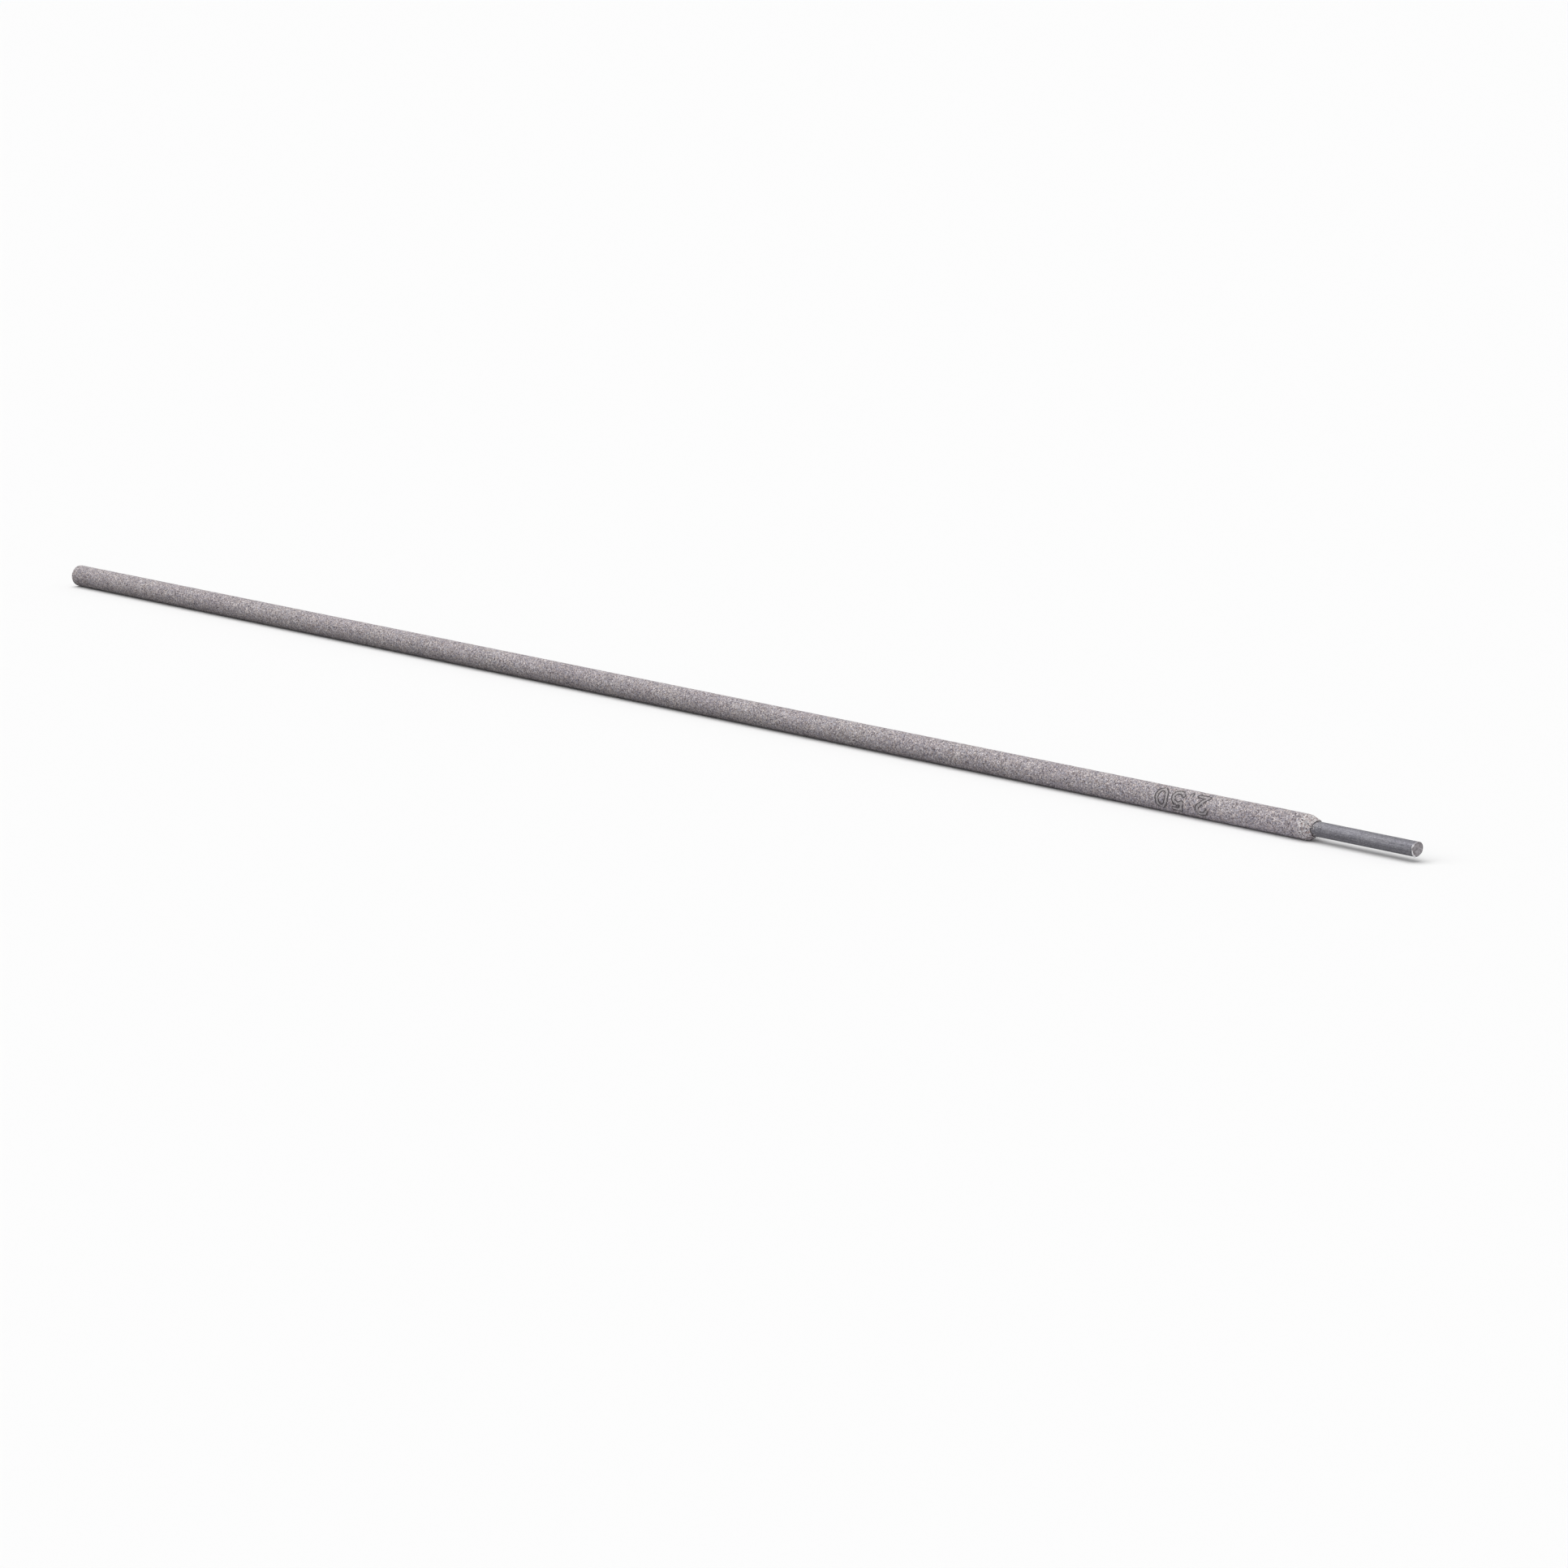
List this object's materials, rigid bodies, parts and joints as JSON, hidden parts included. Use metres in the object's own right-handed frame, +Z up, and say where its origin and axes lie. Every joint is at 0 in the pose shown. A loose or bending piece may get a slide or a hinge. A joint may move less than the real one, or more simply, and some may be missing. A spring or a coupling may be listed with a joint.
{
  "type": "stick welding electrode",
  "caption": "Stick welding electrode: steel core wire in a grey flux covering, with a bare grip end behind a brushed, uneven break line.",
  "frame": {"origin": "on the wire's axis, halfway along the bare grip end", "axes": "+X along the wire, out past the bare grip end; +Z up, with the printed number on the side facing -Y"},
  "size_m": [0.35, 0.0042, 0.0042],
  "materials": {
    "drawn_steel": "satin",
    "flux": "matte"
  },
  "bodies": {
    "root": {"core_wire": "drawn_steel", "flux_coating": "flux"}
  },
  "joints": []
}
